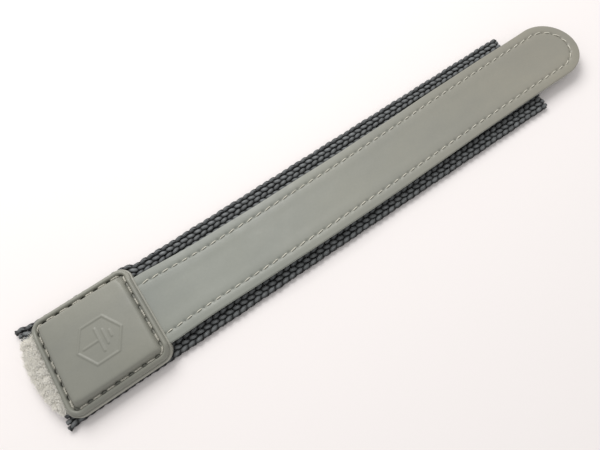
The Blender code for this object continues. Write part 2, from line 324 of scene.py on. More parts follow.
class Look:
    """A Principled material and short ways to add nodes to it."""

    def __init__(self, name, colour, roughness, **sockets):
        self.material = bpy.data.materials.new(name)
        self.material.use_nodes = True
        self.nodes = self.material.node_tree.nodes
        self.links = self.material.node_tree.links
        self.shader = self.nodes["Principled BSDF"]
        self.set("Base Color", colour)
        self.set("Roughness", roughness)
        for socket, value in sockets.items():
            self.set(SOCKET_NAMES[socket], value)

    def put(self, socket, value):
        """Gives a socket a number or a colour, or links it to a node output."""
        if isinstance(value, (int, float)):
            socket.default_value = value
        elif isinstance(value, tuple):
            socket.default_value = (*value, 1.0)
        else:
            self.links.new(value, socket)

    def set(self, socket, value):
        """Gives one of the shader's own sockets its value."""
        self.put(self.shader.inputs[socket], value)

    def attribute(self, name, output):
        """A mesh attribute as a node output."""
        node = self.nodes.new("ShaderNodeAttribute")
        node.attribute_name = name
        return node.outputs[output]

    def texture(self, kind, scale):
        """A texture over the rest place in millimetres, times a scale for each axis."""
        node = self.nodes.new(kind)
        node.inputs["Scale"].default_value = 1.0
        place = self.nodes.new("ShaderNodeVectorMath")
        place.operation = "MULTIPLY"
        place.inputs[1].default_value = scale
        self.links.new(self.attribute("rest", "Vector"), place.inputs[0])
        self.links.new(place.outputs[0], node.inputs["Vector"])
        return node

    def rest_axis(self, axis):
        """One coordinate of the rest place, in millimetres."""
        node = self.nodes.new("ShaderNodeSeparateXYZ")
        self.links.new(self.attribute("rest", "Vector"), node.inputs[0])
        return node.outputs[axis]

    def noise(self, scale, detail=2.0):
        """Noise with features 1/scale millimetres across."""
        node = self.texture("ShaderNodeTexNoise", scale)
        node.inputs["Detail"].default_value = detail
        return node.outputs["Fac"]

    def cells(self, scale):
        """Distance to cell borders, for leather grain."""
        node = self.texture("ShaderNodeTexVoronoi", scale)
        node.feature = "SMOOTH_F1"
        return node.outputs["Distance"]

    def span(self, source, low, high, to_low=0.0, to_high=1.0):
        """A value moved from one range to another, clamped."""
        node = self.nodes.new("ShaderNodeMapRange")
        self.links.new(source, node.inputs["Value"])
        for socket, value in zip(("From Min", "From Max", "To Min", "To Max"), (low, high, to_low, to_high)):
            node.inputs[socket].default_value = value
        return node.outputs["Result"]

    def maths(self, operation, one, two):
        """Arithmetic on two values, each a socket or a number."""
        node = self.nodes.new("ShaderNodeMath")
        node.operation = operation
        for socket, value in zip(node.inputs, (one, two)):
            self.put(socket, value)
        return node.outputs[0]

    def blend(self, share, one, two):
        """A mix of two colours by a share. Each colour is a socket or three numbers."""
        node = self.nodes.new("ShaderNodeMix")
        node.data_type = "RGBA"
        self.links.new(share, node.inputs["Factor"])
        for socket, value in zip(node.inputs[6:8], (one, two)):
            self.put(socket, value)
        return node.outputs[2]

    def bump(self, height, strength, distance):
        """Adds a bump to the shader's normal, on top of any earlier one."""
        node = self.nodes.new("ShaderNodeBump")
        node.inputs["Strength"].default_value = strength
        node.inputs["Distance"].default_value = distance * MM
        self.links.new(height, node.inputs["Height"])
        earlier = self.shader.inputs["Normal"].links
        if earlier:
            self.links.new(earlier[0].from_socket, node.inputs["Normal"])
        self.set("Normal", node.outputs[0])


def tinted(tint, colour):
    """A colour times a tint."""
    return tuple(one * two for one, two in zip(tint, colour))


def leather_look(name, near, far):
    """Smooth leatherette: fine grain, faint clouds of colour and painted light as a tint along the strap."""
    look = Look(name, LEATHER_LOW, 0.42, specular=0.42)
    # Painted light along the strap: the near tint at the badge end, the far tint towards the tip.
    drift = look.span(look.rest_axis("X"), PAINTED_LIGHT_START, PAINTED_LIGHT_END)
    clouds = look.span(look.noise((0.05, 0.09, 0.09), 3.0), 0.35, 0.65)
    specks = look.span(look.noise((1.6, 1.6, 1.6), 4.0), 0.3, 0.7)
    low = look.blend(drift, tinted(near, LEATHER_LOW), tinted(far, LEATHER_LOW))
    high = look.blend(drift, tinted(near, LEATHER_HIGH), tinted(far, LEATHER_HIGH))
    base = look.blend(clouds, low, high)
    base = look.blend(look.maths("MULTIPLY", specks, 0.16), base, tinted(near, LEATHER_SPECK))
    edge = look.blend(look.attribute("tone", "Fac"), base, tinted(near, LEATHER_CUT))
    # Painted shade in the needle holes, by the hole attribute.
    look.set("Base Color", look.blend(look.attribute("hole", "Fac"), edge, LEATHER_HOLE_SHADE))
    look.set("Roughness", look.span(look.noise((0.5, 0.5, 0.5), 5.0), 0.3, 0.7, 0.36, 0.50))
    look.bump(look.cells((3.2, 3.2, 3.2)), 0.10, 0.10)
    look.bump(look.noise((0.20, 0.20, 0.20), 1.0), 0.12, 0.50)
    return look.material


def yarn_look(name, dark, light, roughness):
    """Multifilament yarn: fine lines along it, tones that differ from yarn to yarn, painted shade between
    floats.
    """
    look = Look(name, dark, roughness, specular=0.35, sheen=0.15, sheen_roughness=0.5)
    lines = look.noise((1.0, 11.0, 9.0), 2.0)
    tone = look.maths("ADD", look.attribute("tone", "Fac"), look.span(lines, 0.3, 0.7, -0.35, 0.35))
    # Painted shade: yarns turn dark where they pass near the middle of the webbing's thickness, down between
    # the floats.
    painted_shade_rise = look.maths("ABSOLUTE", look.maths("SUBTRACT", look.rest_axis("Z"), WEB_THICK / 2), 0.0)
    share = look.maths("MULTIPLY", look.span(tone, -0.6, 0.9), look.span(painted_shade_rise, 0.38, 0.72))
    look.set("Base Color", look.blend(share, dark, light))
    look.bump(lines, 0.8, 0.06)
    return look.material


def pile_look(name, dark, light):
    """Soft fibres, their tones differing from fibre to fibre and in patches."""
    look = Look(name, light, 0.9, specular=0.15, sheen=1.0, sheen_roughness=0.6)
    patch = look.noise((0.6, 0.6, 0.6), 3.0)
    tone = look.maths("ADD", look.attribute("tone", "Fac"), look.span(patch, 0.3, 0.7, -0.3, 0.3))
    look.set("Base Color", look.blend(look.span(tone, -0.4, 1.0), dark, light))
    return look.material


def hook_look():
    """Matt moulded hooks on a knitted backing."""
    look = Look("hook_tape", (0.20, 0.20, 0.18), 0.5, specular=0.4)
    weave = look.noise((2.5, 2.5, 2.5), 3.0)
    look.set("Base Color", look.blend(weave, (0.14, 0.14, 0.125), (0.26, 0.26, 0.235)))
    look.bump(weave, 0.4, 0.08)
    return look.material


def thread_look(name, dark, light):
    """Pale twisted sewing thread."""
    look = Look(name, light, 0.55, specular=0.4, sheen=0.2)
    twist = look.noise((4.0, 7.0, 7.0), 1.0)
    look.set("Base Color", look.blend(look.span(twist, 0.35, 0.65), dark, light))
    look.bump(twist, 0.9, 0.06)
    return look.material


def foam_look():
    """Open-cell foam, for the pad inside the badge."""
    look = Look("foam", (0.5, 0.49, 0.45), 0.9)
    node = look.nodes.new("ShaderNodeTexNoise")
    node.inputs["Scale"].default_value = 2500.0
    look.set("Base Color", look.blend(node.outputs["Fac"], (0.42, 0.41, 0.37), (0.58, 0.57, 0.53)))
    look.bump(node.outputs["Fac"], 0.6, 0.2)
    return look.material


# Pieces along the strap.

def hinge_x(joint):
    """A hinge's place along the strap, in millimetres."""
    return joint["pos_m"][0] / MM


def spans(joints, start, end):
    """For each hinge's piece: its number, whether it is the last, its start, its end and its joint."""
    joints = sorted(joints, key=hinge_x)
    cuts = [start] + [(hinge_x(a) + hinge_x(b)) / 2 for a, b in zip(joints, joints[1:])] + [end]
    return [(i + 1, joint is joints[-1], cuts[i], cuts[i + 1], joint) for i, joint in enumerate(joints)]


WRAPS = [joint for joint in frame["joints"] if joint["name"].startswith("wrap_")]
TONGUE_LINES = [joint for joint in frame["joints"] if joint not in WRAPS]
TONGUE_SPANS = spans(TONGUE_LINES, TONGUE_START, TONGUE_TIP)
BADGE_EDGE = BADGE_HALF[0] + BADGE_CENTRE[0] + 0.3
BEND_REACH = 8.2


def bend(piece, joint):
    """Finds the same stretch by the hinge in every layer and bakes the piece's place into its mesh, without
    bending it.
    """
    place = hinge_x(joint)
    start, end = next((s, e) for _, _, s, e, other in TONGUE_SPANS if abs(hinge_x(other) - place) < 0.01)
    start, end = max(start, BADGE_EDGE), min(end, place + BEND_REACH)
    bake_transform(piece)


def hang(piece, family, number, joint):
    """Hides the CAD segment a piece shows and bakes its place. The first shows the one under the badge too.
    """
    shown = [number + 1] + ([1] if number == 1 else [])
    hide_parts(*["%s_%d" % (family, each) for each in shown])
    bend(piece, joint)


def web_side(x, y):
    """A yarn's place across the webbing. Its cut end flares, and the badge pushes its far edge out."""
    near = np.clip(1.0 - (x - WEB_START) / FLARE_LENGTH, 0.0, 1.0)
    spread = BADGE_SPREAD * (1.0 - smooth(BADGE_EDGE - SPREAD_FADE, BADGE_EDGE + SPREAD_FADE, x))
    return y * (WEB_HALF + END_FLARE * near * near) / WEB_HALF + spread * np.clip(y / WEB_HALF, 0.0, 1.0)


def web_end(y):
    """Where the slanted far end is, across the webbing."""
    return WEB_END + END_RAGGED + END_SLANT / 2 * y / WEB_HALF


def tongue_centre(x):
    """The tongue's centre line."""
    across = np.minimum(1.0, np.abs(x - TONGUE_WANDER_X) / TONGUE_WANDER_LENGTH)
    return TONGUE_OFFSET - TONGUE_WANDER * np.cos(math.pi * across)


TIP_CENTRE_Y = float(tongue_centre(TIP_CENTRE_X))


def tongue_half_width(x):
    """Half the tongue's width."""
    near = (TONGUE_FLARE_END - x) / (TONGUE_FLARE_END - TONGUE_FLARE_START)
    return TONGUE_HALF + TONGUE_FLARE * np.clip(near, 0.0, 1.0) ** 2


# Webbing.

def web_start(y):
    """Where the cut end by the badge is, across the webbing: its two corners stick out."""
    return WEB_START - START_SLANT * y - NUB_REACH * smooth(WEB_HALF - 2.5, WEB_HALF - 1.0, np.abs(y))


def warp_yarns(start, end, last, rng):
    """Two yarns to a column, one over a pick while the other is under it. Columns are staggered."""
    columns = np.repeat(np.arange(COLUMNS), 2)
    turn = np.tile([0.0, 1.0], COLUMNS)
    y = (columns - (COLUMNS - 1) / 2) * COLUMN_PITCH
    first, final = np.full(len(y), start), np.full(len(y), end)
    if start <= WEB_START:
        first = web_start(y) + rng.uniform(-WARP_RAGGED, WARP_RAGGED, len(y))
    if last:
        final = web_end(y) + rng.uniform(-WARP_RAGGED, WARP_RAGGED, len(y))
    column = columns[:, None]
    rings = int(round((end - start) / PICK * 8)) + 1
    share = np.linspace(0.0, 1.0, rings)
    x = first[:, None] + (final - first)[:, None] * share
    phase = math.pi * (x / PICK + turn[:, None] + 0.5 * (column % 2))
    wave = np.cos(phase)
    wave = np.sign(wave) * np.abs(wave) ** WARP_SQUARENESS
    lift = 0.025 * np.sin(0.9 * x + 2.1 * column) + 0.02 * np.sin(2.3 * x + column)
    z = WEB_THICK / 2 + (WARP_RISE - 0.03) * wave + lift * np.sign(wave) * 0.5
    drift = 0.05 * np.sin(0.61 * x + 1.7 * column) + 0.03 * np.sin(1.73 * x + 0.9 * column)
    slant = WARP_SLANT * np.sin(phase) * np.where(column % 2 == 0, 1.0, -1.0)
    side = web_side(x, y[:, None] + drift + slant)
    width = WARP_HALF_WIDTH * (0.70 + 0.29 * np.abs(wave))
    height = WARP_HALF_HEIGHT * (0.80 + 0.16 * wave * wave)
    tone = YARN_TONES[columns] + rng.uniform(-0.1, 0.1, len(y))
    return tubes(rows_of(x, side, z), (height, width), 8, tone=tone)


def weft_yarns(start, end, last):
    """The picks across the strap, which show dark between the warp yarns."""
    picks = np.arange(math.ceil(start / PICK), math.ceil(end / PICK) + (2 if last else 0))
    x = picks * PICK
    edge = WEB_HALF - WEFT_MARGIN
    lowest = np.where(x > WEB_END - END_SLANT / 2, (x + 0.5 - WEB_END) * 2 * WEB_HALF / END_SLANT, -edge)
    lowest = np.maximum(lowest, -edge)
    kept = lowest < edge - 2.0
    picks, x, lowest = picks[kept], x[kept], lowest[kept]
    share = np.linspace(0.0, 1.0, COLUMNS * 4)
    y = lowest[:, None] + (edge - lowest)[:, None] * share
    columns = y / COLUMN_PITCH + (COLUMNS - 1) / 2
    z = WEB_THICK / 2 - WEFT_RISE * np.cos(math.pi * (picks[:, None] + columns))
    bow = 0.10 * np.sin(0.33 * y + x[:, None])
    centres = rows_of(x[:, None] + bow, web_side(x[:, None], y), z)
    return tubes(centres, (WEFT_HALF_HEIGHT, WEFT_HALF_WIDTH), 6, tone=-0.7)


def selvedge(start, end, last, side):
    """The weft's turns round the edge, as a slanting wrap at each pick."""
    if last:
        end = float(web_end(side * WEB_HALF)) - 0.1
    if start <= WEB_START:
        start = float(web_start(side * WEB_HALF))
    count = int((end - start) / PICK * 14) + 1
    x = np.linspace(start, end, count)
    turn = 2 * math.pi * x / PICK
    y = web_side(x, side * (WEB_HALF - SELVEDGE_INSET + SELVEDGE_SWING * np.cos(turn)))
    z = WEB_THICK / 2 + (WEB_THICK / 2 - SELVEDGE_RADII[1]) * np.sin(turn)
    outward = (0.0, float(side), 0.3)
    return tubes(rows_of(x, y, z)[None], SELVEDGE_RADII, 8, hint=outward, tone=0.15)


def make_webbing(rng):
    """The woven strap, one piece for each hinge."""
    look = yarn_look("webbing_yarn", (0.006, 0.007, 0.008), (0.315, 0.335, 0.344), 0.62)
    for number, last, start, end, joint in spans(WRAPS, WEB_START, WEB_END):
        parts = [warp_yarns(start, end, last, rng), weft_yarns(start, end, last)]
        parts += [selvedge(start, end, last, side) for side in (-1, 1)]
        piece = make_piece("webbing_weave_%d" % number, join(parts), look, crease=60.0)
        hang(piece, "webbing", number, joint)


# Loop tape.

def slab_shape(xs, low_y, high_y, low_z, high_z):
    """A thin closed slab along the strap, between two edge curves."""
    ring = [(low_y, low_z), (high_y, low_z), (high_y, high_z), (low_y, high_z)]
    points = np.stack([rows_of(xs, y, z) for y, z in ring], axis=1)
    return points.reshape(-1, 3), tube_faces(numbered(*points.shape[:2])), np.zeros(points.size // 3)


def pile_loops(start, end, rng):
    """Small loops standing on the tape, in every direction."""
    count = int((end - start) * (LOOP_HIGH.y - LOOP_LOW.y) * PILE_DENSITY)
    x = rng.uniform(start + 0.3, end - 0.3, count)
    y = rng.uniform(LOOP_LOW.y + 0.2, LOOP_HIGH.y - 0.2, count)
    heading = rng.uniform(0.0, 2 * math.pi, count)
    span = rng.uniform(*PILE_SPAN, count)
    height = rng.uniform(*PILE_HEIGHT, count)
    turn = np.linspace(0.0, math.pi, 6)[None, :]
    reach = span[:, None] * np.cos(turn)
    centres = rows_of(
        x[:, None] + reach * np.cos(heading)[:, None],
        y[:, None] + reach * np.sin(heading)[:, None],
        LOOP_LOW.z + 0.08 + height[:, None] * np.sin(turn),
    )
    return tubes(centres, PILE_FIBRE, 3, hint=(0.3, 0.2, 0.9), tone=rng.uniform(0.0, 0.9, count))


def tuft_edge(y):
    """Where the tuft's outer edge is, across the tape: it swells past the webbing's cut end."""
    across = np.abs((y - TUFT_MIDDLE) / TUFT_HALF)
    return web_start(y) - TUFT_BULGE * (1.0 - np.clip(across, 0.0, 1.0) ** 2.4)


def tuft_surface(y, turn):
    """Places on the tuft's dense inside: an oval section that narrows to the tape's two sides."""
    across = np.clip(np.abs((y - TUFT_MIDDLE) / TUFT_HALF), 0.0, 1.0)
    round_off = np.sqrt(np.clip(1.0 - across ** 5, 0.0, 1.0))
    half = (TUFT_ROOT - tuft_edge(y)) / 2 - 0.35
    x = TUFT_ROOT - half + half * np.cos(turn)
    z = 2.15 + 1.0 * round_off * np.sin(turn)
    lowest = 1.65 - 1.1 * smooth(0.0, 1.0, web_start(y) - x)
    return rows_of(x, y, np.maximum(z, lowest))


def tuft_core(rng):
    """The tuft's dense inside, a lumpy closed roll along the tape's cut end."""
    rows, sides = 90, 28
    y = TUFT_MIDDLE + TUFT_HALF * np.linspace(-0.97, 0.97, rows)[:, None]
    turn = 2 * math.pi * np.arange(sides) / sides
    points = tuft_surface(y, turn)
    lumps = np.sin(2.1 * points[..., 1] + 3.0 * turn) + np.sin(3.7 * points[..., 1] - 2.0 * turn + 1.0)
    points = points + rng.normal(0.0, 0.05, points.shape)
    points[..., 0] += 0.10 * lumps
    return points.reshape(-1, 3), tube_faces(numbered(rows, sides)), np.full(rows * sides, 0.25)


def tuft_fibres(rng, count):
    """Short crimped fibres that stand out of the core, in every direction."""
    y = TUFT_MIDDLE + TUFT_HALF * rng.uniform(-1.0, 1.0, count)
    turn = rng.uniform(-0.25 * math.pi, 1.35 * math.pi, count)
    root = tuft_surface(y, turn)
    out = rows_of(np.cos(turn) * 0.9, rng.normal(0.0, 0.45, count), np.sin(turn) * 0.55)
    out += rng.normal(0.0, 0.40, (count, 3))
    swirl = rows_of(np.sin(2.3 * y + 3 * turn), np.sin(3.1 * y + 1.0), np.cos(2.7 * y - 2 * turn))
    out = unit(out + 0.55 * swirl)
    length = rng.uniform(*TUFT_LENGTH, count)[:, None]
    share = np.linspace(-0.25, 1.0, 8)[None, :]
    phase = rng.uniform(0, 2 * math.pi, (count, 3))
    crimp = rng.uniform(5.0, 10.0, count)[:, None] * share
    curl = rng.uniform(0.08, 0.22, count)[:, None]
    wiggle = [curl * np.sin(crimp + phase[:, axis:axis + 1]) for axis in range(3)]
    centres = root[:, None] + out[:, None] * (length * share)[..., None] + rows_of(*wiggle)
    centres[..., 2] = np.maximum(centres[..., 2], 0.12)
    return tubes(centres, TUFT_FIBRE, 3, hint=(0.1, 0.3, 0.9), tone=rng.uniform(0.2, 1.0, count))


def make_loop_tape(rng):
    """The pile tape on the webbing, and the tuft at its cut end."""
    look = pile_look("loop_pile", (0.87, 0.845, 0.77), (1.0, 0.98, 0.92))
    for number, _, start, end, joint in spans(WRAPS, TUFT_ROOT, LOOP_END):
        xs = np.arange(start, end, 0.8).tolist() + [end]
        backing = slab_shape(xs, LOOP_LOW.y, LOOP_HIGH.y, LOOP_LOW.z, LOOP_LOW.z + PILE_BACKING)
        parts = [backing, pile_loops(start, end, rng)]
        piece = make_piece("loop_pile_%d" % number, join(parts), look, crease=60.0)
        hang(piece, "loop_tape", number, joint)
    for number in range(1, TUFT_PIECES + 1):
        parts = [tuft_fibres(rng, TUFT_FIBRES)] + ([tuft_core(rng)] if number == 1 else [])
        tuft = make_piece("loop_pile_tuft_%d" % number, join(parts), look, crease=80.0)
        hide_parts("loop_tape_1")
        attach(tuft, "badge_end")


# Tongue.

def along_path(path, travel, at):
    """Rows of a path's table at distances along it."""
    return rows_of(*[np.interp(at, travel, column) for column in path.T])


def seam_path():
    """Places, directions, inward normals and distances along the U-shaped seam."""
    step = 0.05
    xs = np.arange(SEAM_START_X, TIP_CENTRE_X, step)
    reach = tongue_half_width(xs) - SEAM_INSET
    lower, upper = [rows_of(xs, tongue_centre(xs) + side * reach) for side in (-1, 1)]
    radius = TONGUE_HALF - SEAM_INSET
    turn = np.arange(-math.pi / 2, math.pi / 2, step / radius)
    arc = rows_of(TIP_CENTRE_X + radius * np.cos(turn), TIP_CENTRE_Y + radius * np.sin(turn))
    path = np.concatenate([lower, arc, upper[::-1]])
    along = unit(np.gradient(path, axis=0))
    return path, along, quarter_turn(along), travelled(path)


SEAM = seam_path()
SEAM_STITCHES = np.arange(SEAM_PITCH / 2, SEAM[3][-1], SEAM_PITCH)


def seam_at(travel):
    """The seam's place, direction and inward normal at distances along it."""
    return [along_path(table, SEAM[3], travel) for table in SEAM[:3]]


HOLE_POINTS = seam_at(SEAM_STITCHES - SEAM_PITCH / 2)[0]


def near_holes(x, y, radius):
    """1 at a needle hole, falling to 0 at radius."""
    flat = rows_of(x, y)
    best = np.full(len(flat), 1e9)
    for place in HOLE_POINTS:
        close = np.abs(flat[:, 0] - place[0]) < radius
        gap = flat[close] - place
        best[close] = np.minimum(best[close], np.sum(gap * gap, axis=1))
    return np.clip(1.0 - np.sqrt(best) / radius, 0.0, 1.0)


EDGE_STEPS = np.array([0.0, 0.05, 0.14, 0.28, 0.5, 0.8, 1.2, 1.6, 1.9, 2.08, 2.2, 2.3, 2.4, 2.5, 2.6, 2.7,
                       2.82, 3.0, 3.3, 3.8])
INNER_STEPS = 7


def bell(value, middle, width):
    """A bell curve, 1 at its middle."""
    return np.exp(-((value - middle) / width) ** 2)


def tongue_profile(half):
    """Half the tongue's section from the top centre out and back to the bottom centre.

    Gives the distance from the centre, the height and the tone of each point."""
    inner = np.linspace(0.0, half - EDGE_STEPS[-1], INNER_STEPS, endpoint=False)
    out = np.concatenate([inner, half - EDGE_STEPS[::-1]])
    inset = half - out
    rounding = 0.22 * (1.0 - np.sqrt(np.clip(1.0 - (1.0 - np.minimum(inset / 0.28, 1.0)) ** 2, 0.0, 1.0)))
    groove = SEAM_GROOVE * bell(inset, SEAM_INSET, 0.30)
    roll = 0.06 * bell(inset, 1.25, 0.65)
    crown = 0.05 * bell(inset, 4.0, 1.0)
    top = TONGUE_HIGH.z - 0.06 - rounding - groove + roll + crown
    side = np.array([half + 0.02, half + 0.02, half - 0.03, half - 0.15])
    side_z = np.array([TONGUE_HIGH.z - 0.38, TONGUE_LOW.z + 0.2, TONGUE_LOW.z + 0.05, TONGUE_LOW.z])
    under = np.array([half * 0.8, half * 0.4, 0.0])
    radius = np.concatenate([out, side, under])
    height = np.concatenate([top, side_z, np.full(3, TONGUE_LOW.z)])
    tone = np.concatenate([np.zeros(len(out)), [0.75, 0.9, 0.6, 0.3], np.full(3, 0.2)])
    return radius, height, tone


def undulation(x, y):
    """Gentle waves of the leather that lies loose on the strap."""
    wave = 0.10 * np.sin(x * 0.135 + 0.6) + 0.06 * np.sin(x * 0.31 + y * 0.12 + 1.9)
    dent = -0.16 * np.exp(-(((x - 128.0) / 5.0) ** 2 + ((y + 1.0) / 3.5) ** 2))
    return (wave + dent) * smooth(14.0, 26.0, x)


def surface(table, faces):
    """Turns (x, y, z, tone) rows into a shape with its gentle waves, lowered at the needle holes."""
    x, y, z, tone = table.reshape(-1, 4).T
    top = smooth(TONGUE_LOW.z + 0.35, TONGUE_HIGH.z - 0.30, z)
    dimple = near_holes(x, y, 0.55) * top
    # Mask for the painted shade in the needle holes.
    hole = smooth(0.55, 0.95, near_holes(x, y, 0.40)) * top
    height = z - SEAM_DIMPLE * dimple + undulation(x, y)
    return (rows_of(x, y, height), faces, tone), hole


def tongue_strip(start, end):
    """The straight part of the tongue between two cuts, as closed rings joined along it."""
    xs = np.linspace(start, end, max(2, int((end - start) / 0.21)))
    rings = []
    for x in xs:
        radius, height, tone = tongue_profile(float(tongue_half_width(x)))
        sides = [tongue_centre(x) - radius, tongue_centre(x) + radius]
        left, right = [rows_of(x, y, height, tone) for y in sides]
        rings.append(np.concatenate([left, right[-2:0:-1]]))
    return np.array(rings)


def tongue_round_tip():
    """The half disc of the tip, the same section turned about the tip's centre."""
    radius, height, tone = tongue_profile(TONGUE_HALF)
    turn = np.linspace(-math.pi / 2, math.pi / 2, 130)[:, None]
    x, y = TIP_CENTRE_X + radius * np.cos(turn), TIP_CENTRE_Y + radius * np.sin(turn)
    return rows_of(x, y, height, tone)


def make_tongue(look, thread):
    """The leather tongue with its seam, one piece for each hinge line it crosses."""
    for number, last, start, end, joint in TONGUE_SPANS:
        rings = tongue_strip(start, TIP_CENTRE_X if last else end)
        faces = tube_faces(numbered(*rings.shape[:2]))
        shape, hole = surface(rings, faces[:2] if last else faces)
        if last:
            tip = tongue_round_tip()
            tip_shape, tip_hole = surface(tip, [grid_faces(numbered(*tip.shape[:2]))])
            shape, hole = join([shape, tip_shape]), np.concatenate([hole, tip_hole])
        piece = make_piece("tongue_leather_%d" % number, shape, look, hole, weld=last)
        hang(piece, "tongue", number, joint)
        stitches = seam_stitches(start, TONGUE_TIP if last else end)
        if stitches is not None:
            seam = make_piece("tongue_thread_%d" % number, stitches, thread, crease=80.0)
            bend(seam, joint)


def seam_stitches(start, end):
    """The stitches whose middle lies between two cuts."""
    place, along, inward = seam_at(SEAM_STITCHES)
    kept = (place[:, 0] >= start) & (place[:, 0] < end)
    if not kept.any():
        return None
    place, along, inward = place[kept], along[kept], inward[kept]
    share = np.linspace(-1.0, 1.0, 13)[None, :, None]
    uneven = np.sin(7.3 * place[:, 0] + 3.1 * place[:, 1])[:, None, None]
    line = place[:, None] + along[:, None] * share * SEAM_STITCH / 2 * (1.15 + 0.12 * uneven)
    line = line + inward[:, None] * share * SEAM_SLANT * (1.0 + 0.45 * uneven)
    rise = 0.10 - 0.42 * np.abs(share[..., 0]) ** 5
    z = TONGUE_HIGH.z - 0.06 + rise + undulation(line[..., 0], line[..., 1])
    centres = np.concatenate([line, z[..., None]], axis=2)
    size = SEAM_THREAD * (1.0 - 0.35 * np.abs(share[..., 0]) ** 3) * np.ones((len(place), 1))
    return tubes(centres, (size, size * 1.1), 8)


# Hook tape.

def hook_shapes(start, end):
    """Rows of small hooks that point down and curl over."""
    xs = np.arange(math.ceil(start / HOOK_PITCH), math.floor(end / HOOK_PITCH) + 1) * HOOK_PITCH
    xs = xs[(xs > start + 0.1) & (xs < end - 0.3)]
    ys = np.arange(-8, 9) * HOOK_ROW
    x, y = [table.reshape(-1) for table in np.meshgrid(xs, ys)]
    y = y + tongue_centre(x) + 0.42 * (np.round(x / HOOK_PITCH) % 2 - 0.5)
    radius = TONGUE_HALF - HOOK_INSET - 0.4
    on_tip = (x - TIP_CENTRE_X) ** 2 + (y - TIP_CENTRE_Y) ** 2 < radius ** 2
    inside = ((x < TIP_CENTRE_X) | on_tip) & (np.abs(y - tongue_centre(x)) < radius)
    x, y = x[inside], y[inside]
    turn = np.linspace(0.0, 1.25 * math.pi, 7)
    lean = np.where(np.round(y / HOOK_ROW) % 2 == 0, 1.0, -1.0)[:, None]
    reach = np.concatenate([[0.0, 0.0], HOOK_BEND * (1 - np.cos(turn))])
    stem = HOOK_HIGH.z - np.array([0.10, 0.25])
    heights = np.concatenate([stem, HOOK_HIGH.z - 0.34 - HOOK_BEND * np.sin(turn)])
    centres = rows_of(x[:, None] + lean * reach, y[:, None], heights)
    return tubes(centres, HOOK_WIRE, 4, hint=(0.0, 1.0, 0.0))


def make_hook_tape():
    """The hook tape under the tongue."""
    look = hook_look()
    for number, last, start, end, joint in TONGUE_SPANS:
        finish = TONGUE_TIP - HOOK_INSET - 0.05 if last else end
        xs = np.linspace(start, finish, max(2, int((finish - start) / 0.5)))
        cut = np.clip(xs - TIP_CENTRE_X, 0.0, None)
        tip_half = np.sqrt(np.clip((TONGUE_HALF - HOOK_INSET) ** 2 - cut * cut, 0.01, None))
        half = np.where(xs > TIP_CENTRE_X, tip_half, tongue_half_width(xs) - HOOK_INSET)
        middle = tongue_centre(np.minimum(xs, TIP_CENTRE_X))
        waves = undulation(xs, 0.0)
        slab = slab_shape(xs, middle - half, middle + half, HOOK_HIGH.z - 0.14, HOOK_HIGH.z)
        slab[0][:, 2] += np.repeat(waves, 4)
        hooks = hook_shapes(start, finish)
        hooks[0][:, 2] += undulation(hooks[0][:, 0], 0.0)
        piece = make_piece("hooks_%d" % number, join([slab, hooks]), look, crease=50.0)
        hang(piece, "hook_tape", number, joint)


# Badge.

def badge_side(length, width, corner, count):
    """Even points along the right side, from one corner's middle to the next corner's middle."""
    straight = width - 2 * corner
    arc = corner * math.pi / 4
    travel = np.linspace(0.0, straight + 2 * arc, count)
    radius = max(corner, 1e-9)
    first = -math.pi / 4 + np.clip(travel, 0, arc) / radius
    second = np.clip(travel - arc - straight, 0, arc) / radius
    turn = np.where(travel < arc, first, second)
    middle = np.clip(travel - arc, 0.0, straight)
    x = length / 2 - corner + corner * np.cos(turn)
    y = -width / 2 + corner + middle + corner * np.sin(turn)
    return rows_of(x, y)


def badge_ring(inset, count):
    """A ring of points round the badge, inset from its outline, count to a side."""
    length, width = 2 * (BADGE_HALF[0] - inset), 2 * (BADGE_HALF[1] - inset)
    corner = max(0.0, BADGE_CORNER - inset)
    right, top = [badge_side(*size, corner, count + 1)[:-1] for size in ((length, width), (width, length))]
    top = quarter_turn(top)
    return np.concatenate([right, top, -right, -top])


def ground(points):
    """Height of what the badge's leather lies on: webbing at its sides, tongue or tape between."""
    across = np.abs(points[..., 1] - TONGUE_OFFSET)
    layers = LOOP_HIGH.z + 0.5 + (TONGUE_HIGH.z - LOOP_HIGH.z - 0.5) * smooth(-11.5, -8.5, points[..., 0])
    sides = WEB_THICK + SIDE_LIFT
    return sides + (layers - sides) * (1.0 - smooth(8.6, 11.6, across))


RIM_CURVE = [(0.35, 0.42), (0.38, 0.66), (0.45, 0.88), (0.60, 1.10), (0.80, 1.21), (0.98, 1.24), (1.16, 1.20),
             (1.34, 1.06), (1.50, 0.82), (1.64, 0.58), (1.75, 0.50), (1.90, 0.55), (2.05, 0.62)]
PAD_GRID = 33
PAD_FRAMES = 24
PAD_FULLNESS = 13.0
PAD_DOME = 0.28
PAD_SCALE = 0.05
PAD_PRESSURE = 4.0
PAD_STIFFNESS = 12.0


